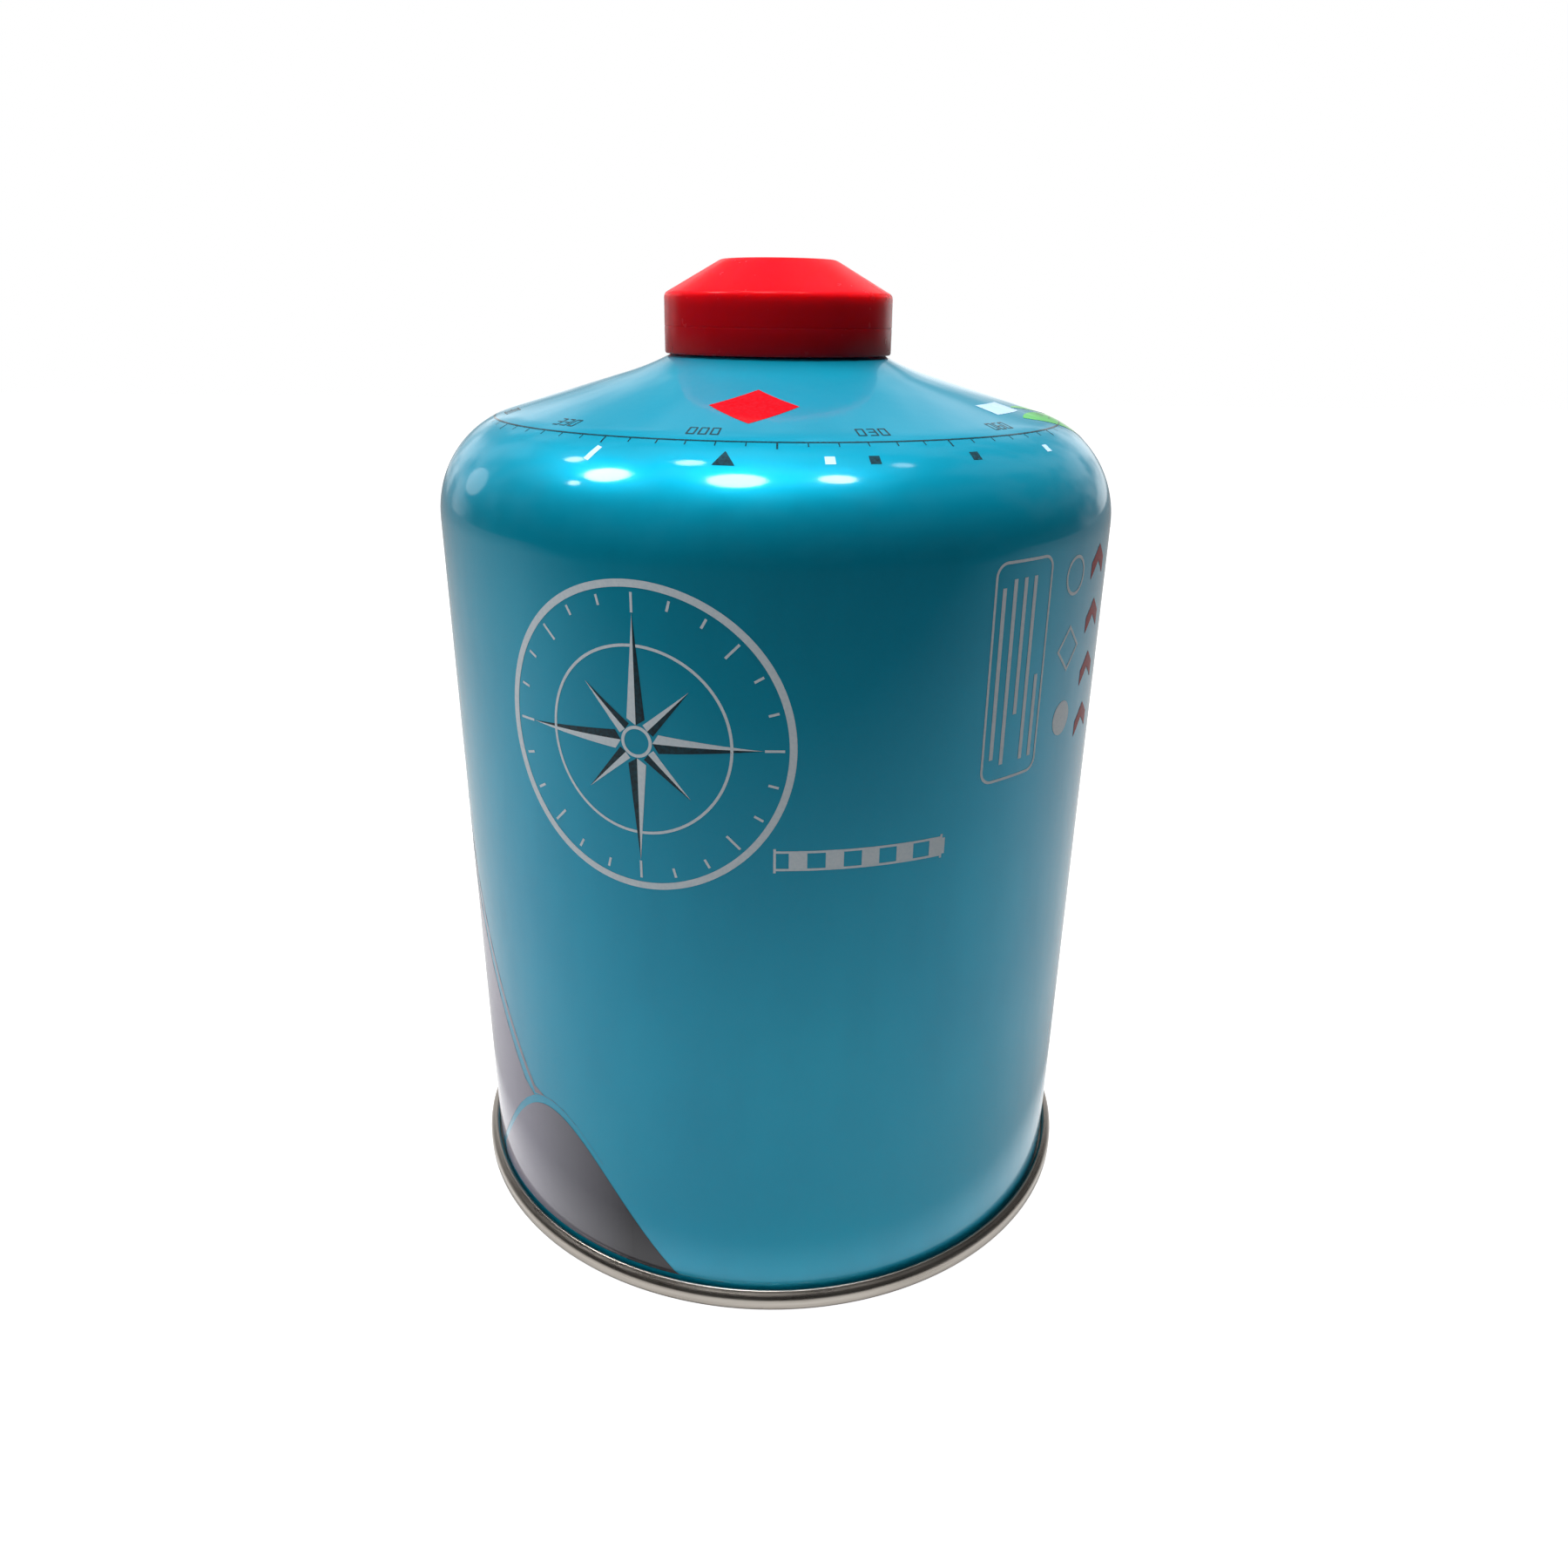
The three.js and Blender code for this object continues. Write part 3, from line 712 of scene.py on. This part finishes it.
def repeated(name, tick, count, start, surface):
    """Runs the node group and keeps its result as a plain mesh on the can."""
    holder = bpy.data.objects.new(name, bpy.data.meshes.new(name))
    bpy.context.scene.collection.objects.link(holder)
    modifier = holder.modifiers.new("repeat", "NODES")
    modifier.node_group = REPEAT
    values = {"Tick": tick, "Count": count, "Start": start, "Ink": surface}
    for item in REPEAT.interface.items_tree:
        if item.in_out == "INPUT":
            modifier[item.identifier] = values[item.name]
    bpy.context.view_layer.update()
    worked_out = holder.evaluated_get(bpy.context.evaluated_depsgraph_get())
    result = bpy.data.meshes.new_from_object(worked_out)
    holder.modifiers.remove(modifier)
    result.name = name
    holder.data = result
    tick_mesh = tick.data
    bpy.data.objects.remove(tick)
    bpy.data.meshes.remove(tick_mesh)
    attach(holder, "can")
    return holder


def loose(name, grid, radius):
    """One printed shape as a free object, for the node group to copy."""
    verts = [place(x, v, 0, radius) for row in grid for x, v in row]
    mesh = bpy.data.meshes.new(name)
    mesh.from_pydata(verts, [], grid_faces(len(grid), len(grid[0])))
    obj = bpy.data.objects.new(name, mesh)
    bpy.context.scene.collection.objects.link(obj)
    return obj


REPEAT = repeat_group()
short_tick = loose("tick", bar(0, LINE_V - 0.6, 0.16, 0.8), LINE_R)
repeated("short_ticks", short_tick, 72, 0.0, black_ink)
long_tick = loose("tick", bar(0, LINE_V - 0.85, 0.24, 1.3), LINE_R)
repeated("long_ticks", long_tick, 12, 0.0, black_ink)
print("ticks placed")

# %% [markdown]
# ## Marks
# Between the line and the bend stand a few marks of other shapes, dark and pale, and on the
# crown a plain red lozenge and a pale patch. They sit on the cone of the crown, so they use the
# same `place` function with the radius at which they lie.

# %% Marks
MARK_V = 131.6
MARK_R = 46
LOZENGE_V = 146.6
LOZENGE_HALF = 6.1
strips = [
    (-30, MARK_R, bar(0, MARK_V, 0.9, 2.6, -20)),
    (8, MARK_R, bar(0, MARK_V, 1.3, 1.3)),
    (52, MARK_R, bar(0, MARK_V, 1.3, 1.3)),
]
printed("pale_marks", strips, pale_ink)
strips = [
    (-8, MARK_R, patch([(-1.4, 130.6), (1.4, 130.6), (0.05, 133.0), (-0.05, 133.0)], 2, 3)),
    (15, MARK_R, bar(0, MARK_V, 1.4, 1.4)),
    (33, MARK_R, bar(0, MARK_V, 1.4, 1.4)),
]
printed("dark_marks", strips, black_ink)
lozenge = []
for t in np.linspace(-0.995, 0.995, 15):
    half = LOZENGE_HALF * (1 - abs(t))
    lozenge.append([(half * (k / 4 - 1), LOZENGE_V + LOZENGE_HALF * t) for k in range(9)])
printed("crown_lozenge", [(-5.5, 33, lozenge)], red_ink)
sticker = patch([(-4.5, 141.2), (4.5, 141.2), (4.5, 145.0), (-4.5, 145.0)], 8, 2)
printed("crown_patch", [(62, 36, sticker)], pale_ink)
print("marks placed")

# %% [markdown]
# ## The compass rose
# The large motif on the front is a generic wind rose in pale line work: an outer ring with
# ticks, a thin inner ring and an eight-pointed star. Each point of the star is split along its
# middle into a light and a dark half, the old way to make a flat star look folded.

# %% Compass rose
ROSE_ANGLE, ROSE_V, ROSE_R = -20.0, 94.0, 21.0
EYE_R = 2.3
white = [
    ring_band(0, ROSE_V, ROSE_R, 1.0, steps=160),
    ring_band(0, ROSE_V, ROSE_R * 0.62, 0.4, steps=120),
    ring_band(0, ROSE_V, 2.0, 0.45, steps=40),
]
for k in range(24):
    a = math.radians(15 * k)
    mid = ROSE_R - 2.4 if k % 3 == 0 else ROSE_R - 1.9
    size = 2.6 if k % 3 == 0 else 1.4
    white.append(bar(mid * math.cos(a), ROSE_V + mid * math.sin(a), size, 0.35, 15 * k))
dark = []
for k in range(8):
    reach = 17.2 if k % 2 == 0 else 10.6
    a = math.radians(45 * k)
    tip = (reach * math.cos(a), ROSE_V + reach * math.sin(a))
    waist = 3.4 if k % 2 == 0 else 2.6
    for side, target in ((1, white), (-1, dark)):
        b = a + side * math.radians(22.5)
        corner = (waist * math.cos(b), ROSE_V + waist * math.sin(b))
        foot = (EYE_R * math.cos(a), ROSE_V + EYE_R * math.sin(a))
        close = (tip[0] * 0.999 + corner[0] * 0.001, tip[1] * 0.999 + corner[1] * 0.001)
        target.append(patch([foot, corner, close, tip], 3, 10))
printed("rose_white", [(ROSE_ANGLE, WALL_R, grid) for grid in white], white_ink)
printed("rose_dark", [(ROSE_ANGLE, WALL_R, grid) for grid in dark], black_ink)
print("rose drawn with", len(white) + len(dark), "shapes")

# %% [markdown]
# ## Smaller signs
# Beside the rose stands a scale bar. Further round the right side come an outlined panel with
# wordless bars, three simple shapes and four red chevrons. They are seen at a low angle from
# the front, where the lacquer mirrors the pale surroundings, and so they fade there as print on
# a glossy can does.

# %% Scale bar, panel and chevrons
SCALE_ANGLE, SCALE_V, SCALE_LENGTH = 13, 78.3, 24
PANEL_ANGLE, PANEL_V = 38.5, 101.5
SHAPES_ANGLE, CHEVRON_ANGLE, CHEVRON_TOP = 52, 62, 113.5
scale_bar = [bar(0, SCALE_V - 1.3, SCALE_LENGTH, 0.35), bar(0, SCALE_V + 1.3, SCALE_LENGTH, 0.35)]
scale_bar += [bar(-10 + 5 * k + 1.25, SCALE_V, 2.5, 2.4) for k in range(5)]
scale_bar += [bar(side * 11.9, SCALE_V, 0.35, 3.6) for side in (-1, 1)]


def finer(inner, outer, cell=1.2):
    """Splits the long cells of a band of two rows, so that it can follow the wall."""
    rows = [[inner[0]], [outer[0]]]
    for i in range(len(inner) - 1):
        count = max(1, math.ceil(math.dist(outer[i], outer[i + 1]) / cell))
        for row, points in zip(rows, (inner, outer)):
            a, b = points[i], points[i + 1]
            parts = [k / count for k in range(1, count + 1)]
            row += [(a[0] + (b[0] - a[0]) * t, a[1] + (b[1] - a[1]) * t) for t in parts]
    return rows


def rounded_outline(width, height, corner, line, v):
    """The outline of a rounded rectangle as one closed band of two rows."""
    inner, outer = [], []
    for quarter, (sx, sz) in enumerate([(1, 1), (-1, 1), (-1, -1), (1, -1)]):
        for a in np.radians(np.linspace(90 * quarter, 90 * quarter + 90, 9)):
            cx, cz = sx * (width / 2 - corner), v + sz * (height / 2 - corner)
            inner.append((cx + (corner - line) * math.cos(a), cz + (corner - line) * math.sin(a)))
            outer.append((cx + corner * math.cos(a), cz + corner * math.sin(a)))
    inner.append(inner[0])
    outer.append(outer[0])
    return finer(inner, outer)


panel = [rounded_outline(11.5, 31, 2.0, 0.4, PANEL_V)]
for k, (length, shift) in enumerate([(24, 0), (26, 0), (19, 3.5), (26, 0), (12, -7)]):
    panel.append(bar(-4 + 2 * k, PANEL_V + shift, 0.7, length))
shapes = [
    ring_band(0, 113, 2.6, 0.45, steps=40),
    finer(*ring_band(0, 102.5, 3.1, 0.6, steps=4)),
    disc(0, 92.0, 2.6),
]
groups = ((SCALE_ANGLE, scale_bar), (PANEL_ANGLE, panel), (SHAPES_ANGLE, shapes))
strips = [(angle, WALL_R, grid) for angle, grids in groups for grid in grids]
printed("white_signs", strips, white_ink)
strips = []
for k in range(4):
    v = CHEVRON_TOP - 8.0 * k
    left = [(-3.2, v - 2.2), (-3.2, v + 0.2), (0, v + 2.6), (0, v + 0.2)]
    right = [(0, v + 0.2), (0, v + 2.6), (3.2, v + 0.2), (3.2, v - 2.2)]
    strips += [(CHEVRON_ANGLE, WALL_R, patch(half, 4, 4)) for half in (left, right)]
printed("red_chevrons", strips, dark_red_ink)
print("signs drawn")

# %% [markdown]
# ## Grey hills
# Two smooth grey hills rise from the foot on the left side and run on round the back, with teal
# showing between them and a thin stripe above. A hill is a bell curve over the angle. Its lower
# edge is the foot or the next hill, and a grid of four rows fills the height between the two
# curves. The ink fades from pale lilac grey to dark grey towards the front, so its colour comes
# from a ramp over the width of the can.

# %% Bands
band_ink, tree, shader = new_material(
    "graded_grey_ink", Roughness=0.42, Specular_IOR_Level=0.0, Coat_Weight=1.0, Coat_Roughness=0.05)
where = node(tree, "ShaderNodeTexCoord")
apart = node(tree, "ShaderNodeSeparateXYZ", {"Vector": where.outputs["Object"]})
fade = spread(tree, apart.outputs["X"], -50 * MM, -22 * MM, 0, 1)
ramp = node(tree, "ShaderNodeValToRGB", {"Fac": fade})
ramp.color_ramp.elements[0].color = linear("#bdb8cc")
ramp.color_ramp.elements[1].color = linear("#36353b")
middle = ramp.color_ramp.elements.new(0.55)
middle.color = linear("#84838e")
tree.links.new(ramp.outputs[0], shader.inputs["Base Color"])


def sweep(low, high, start, end, steps=60):
    """A band between two curves of the angle, as a grid for the whole height."""
    angles = np.linspace(start, end, steps + 1)
    levels = [k / 3 for k in range(4)]
    return [[(math.radians(a) * WALL_R, low(a) + (high(a) - low(a)) * t) for a in angles]
            for t in levels]


def wave(base, rise, centre, width):
    """A smooth hump over the angle."""
    return lambda a: base + rise * math.exp(-((a - centre) / width) ** 2)


def layer(start, end, low, high):
    """A sweep whose lower edge never passes its upper edge."""
    return (0, WALL_R, sweep(low, lambda a: max(high(a), low(a) + 0.05), start, end))


FOOT_V = 3.6
TEAL_GAP = 1.6
STRIPE_GAP = 3.0
hill, near_hill = wave(-4.0, 96, -104, 52), wave(-7.0, 34, -42, 24)


def taper(a):
    """Width of the thin stripe above the hill, nothing at both ends."""
    return 2.4 * math.sin(math.pi * (a + 198) / 178) ** 0.6


def over_near_hill(a):
    """The lowest line that stays clear of the near hill and of the foot."""
    return max(near_hill(a) + TEAL_GAP, FOOT_V)


def stripe_foot(a):
    """The lower edge of the thin stripe."""
    return max(hill(a) + STRIPE_GAP, over_near_hill(a))


printed("grey_sweep", [
    layer(-205, -36, over_near_hill, hill),
    layer(-198, -30, stripe_foot, lambda a: hill(a) + STRIPE_GAP + taper(a)),
    layer(-66, -8, lambda a: FOOT_V, near_hill),
], band_ink)
print("bands drawn")

# %% [markdown]
# ## A green swoosh
# A soft green swoosh runs over the shoulder's right side and ends in a point at both ends. Its
# width follows a sine of the way along it, so no end needs a cap.

# %% Green swoosh
green_ink = ink("green_ink", "#4fb54a")


def swoosh(start, end, low_v, high_v, width, steps=60, across=14):
    """A pointed band that climbs the shoulder between two angles."""
    rows = [[] for _ in range(across + 1)]
    for i in range(steps + 1):
        t = i / steps
        angle = start + (end - start) * t
        middle = low_v + (high_v - low_v) * t ** 1.6
        half = width / 2 * math.sin(math.pi * min(max(t, 0.004), 0.996)) ** 0.8
        for k, row in enumerate(rows):
            row.append((math.radians(angle) * WALL_R, middle + half * (2 * k / across - 1)))
    return rows


printed("green_swoosh", [
    (0, WALL_R, swoosh(62, 128, 139.0, 108.0, 9.0)),
    (0, WALL_R, swoosh(70, 120, 142.5, 121.0, 2.6)),
], green_ink)
print("swoosh drawn")

# %% [markdown]
# ## Stage, lights and camera
# The canister is cut out on white in the photograph, so the floor and the backdrop are white to
# the camera alone. What the lacquer mirrors is set apart from that: a dark room behind the
# camera, a pale one behind the canister, cloudy, as a shop's ceiling is.
# Three lamps and a few weaker ones give the row of flat ovals on the shoulder. Two soft lights
# are left out of mirror images: one above, for the crown and the top of the cap, and one at the
# front left. The camera stands close, less than two tenths of a metre from the axis and as high
# as the cap's side, which is why the foot looks so much narrower than the shoulder.

# %% Stage
bpy.ops.mesh.primitive_plane_add(size=4.0, location=(0, 0, 0))
floor = bpy.context.object
floor.name = "floor"
paper, tree, shader = new_material("white_floor_with_painted_glow", Roughness=0.7)
where = node(tree, "ShaderNodeTexCoord")
apart = node(tree, "ShaderNodeSeparateXYZ", {"Vector": where.outputs["Object"]})
# Painted shade on the floor: its own colour is darker towards the front and lighter near the
# canister, so bounce and reflections darken towards the front.
near = spread(tree, apart.outputs["Y"], -0.34, -0.02, 0, 1)
shade = node(tree, "ShaderNodeValToRGB", {"Fac": near})
shade.color_ramp.elements[0].color = (0.06, 0.06, 0.06, 1)
shade.color_ramp.elements[1].color = (0.3, 0.3, 0.3, 1)
tree.links.new(shade.outputs[0], shader.inputs["Base Color"])
path = node(tree, "ShaderNodeLightPath")
away = node(tree, "ShaderNodeVectorMath", {0: where.outputs["Object"]}, operation="LENGTH")
# Painted glow for mirror rays only: the floor glows in a ring just outside the seam and fades
# outwards to a low level. This painted reflection brightens the seam.
painted_glow = path.outputs["Is Glossy Ray"]
beside_ring = spread(tree, away.outputs["Value"], 0.0551, 0.0556, 0, 1)
dying_away = spread(tree, away.outputs["Value"], 0.0585, 0.066, 0.75, 0.18)
for factor in (near, beside_ring, dying_away):
    painted_glow = node(tree, "ShaderNodeMath", {0: painted_glow, 1: factor}, operation="MULTIPLY").outputs[0]
level = node(tree, "ShaderNodeMath", {
    0: painted_glow, 1: path.outputs["Is Camera Ray"]}, operation="ADD")
shader.inputs["Emission Color"].default_value = (1, 1, 1, 1)
tree.links.new(level.outputs[0], shader.inputs["Emission Strength"])
floor.data.materials.append(paper)

world = bpy.data.worlds.new("studio")
bpy.context.scene.world = world
world.use_nodes = True
tree = world.node_tree
tree.nodes.clear()
where = node(tree, "ShaderNodeTexCoord")
apart = node(tree, "ShaderNodeSeparateXYZ", {"Vector": where.outputs["Generated"]})
low_back = stops(tree, apart.outputs["Y"], [
    (-0.1, 0.03), (0.3, 0.04), (0.45, 0.07), (0.62, 0.4), (0.8, 0.8), (1.0, 0.95)])
back = node(tree, "ShaderNodeMix", {
    0: spread(tree, apart.outputs["Z"], 0.1, 0.6, 0, 1), 2: low_back, 3: 0.27}, data_type="FLOAT")
front = stops(tree, apart.outputs["Z"], [(0.0, 0.03), (0.6, 0.04), (0.85, 0.12), (1.0, 0.35)])
mixed = node(tree, "ShaderNodeMix", {
    0: spread(tree, apart.outputs["Y"], -0.1, 0.3, 0, 1), 2: front, 3: back.outputs[0],
}, data_type="FLOAT")
clouds = node(tree, "ShaderNodeTexNoise", {
    "Vector": where.outputs["Generated"], "Scale": 5.5, "Detail": 3.0})
patchy = spread(tree, clouds.outputs["Fac"], 0.4, 0.6, 0.45, 1.6)
cloudy = node(tree, "ShaderNodeMath", {0: mixed.outputs[0], 1: patchy}, operation="MULTIPLY")
room = node(tree, "ShaderNodeBackground", {"Strength": cloudy.outputs[0]})
white_back = node(tree, "ShaderNodeBackground", {"Color": (1, 1, 1, 1), "Strength": 1.0})
path = node(tree, "ShaderNodeLightPath")
chosen = node(tree, "ShaderNodeMixShader", {
    0: path.outputs["Is Camera Ray"], 1: room.outputs[0], 2: white_back.outputs[0]})
node(tree, "ShaderNodeOutputWorld", {"Surface": chosen.outputs[0]})

LAMP_TARGET = 0.12


def lamp(name, azimuth, elevation, distance, size, power, shape="DISK"):
    """An area light seen from the canister's shoulder in the given direction, aimed back at it."""
    a, e = math.radians(azimuth), math.radians(elevation)
    data = bpy.data.lights.new(name, "AREA")
    data.shape = shape
    data.size = size
    data.energy = power
    made = bpy.data.objects.new(name, data)
    bpy.context.scene.collection.objects.link(made)
    spot = np.array([math.sin(a) * math.cos(e), math.cos(a) * math.cos(e), math.sin(e)]) * distance
    made.location = (spot[0], spot[1], spot[2] + LAMP_TARGET)
    direction = -made.location.copy()
    direction.z += LAMP_TARGET
    made.rotation_euler = direction.to_track_quat("-Z", "Y").to_euler()
    return made


lamp("lamp_left", -93, 52, 1.0, 0.21, 1.95)
lamp("lamp_middle", -152, 70, 1.0, 0.24, 2.6)
lamp("lamp_right", 136, 70, 1.0, 0.15, 1.0)
small_lamps = [
    (-79, 73, 0.1, 0.3), (-66, 48, 0.08, 0.16), (-93, 41, 0.06, 0.12),
    (77, 65, 0.08, 0.07), (-58, 14, 0.22, 0.12)]
for count, (azimuth, elevation, size, power) in enumerate(small_lamps):
    lamp(f"small_lamp_{count}", azimuth, elevation, 1.0, size, power)
soft_lights = [
    lamp("broad_light", 10, 84, 0.5, 0.3, 5.4, "SQUARE"),
    lamp("front_light", -130, 25, 0.7, 0.4, 1.0, "SQUARE"),
]
for soft in soft_lights:
    soft.visible_glossy = False

CAMERA_AT = (0, -0.19147, 0.14607)
YAW, PITCH, ROLL = -0.53, 22.23, 0.71
camera_data = bpy.data.cameras.new("camera")
camera_data.lens = 26.33
camera_data.sensor_width = 36.0
camera = bpy.data.objects.new("camera", camera_data)
bpy.context.scene.collection.objects.link(camera)
turn = Matrix.Rotation(math.radians(YAW), 4, "Z")
tilt = Matrix.Rotation(math.radians(90 - PITCH), 4, "X")
roll = Matrix.Rotation(math.radians(ROLL), 4, "Z")
camera.matrix_world = Matrix.Translation(CAMERA_AT) @ turn @ tilt @ roll
camera_data.clip_start = 0.01
bpy.context.scene.camera = camera
bpy.context.scene.view_settings.view_transform = "Standard"
print("stage ready")
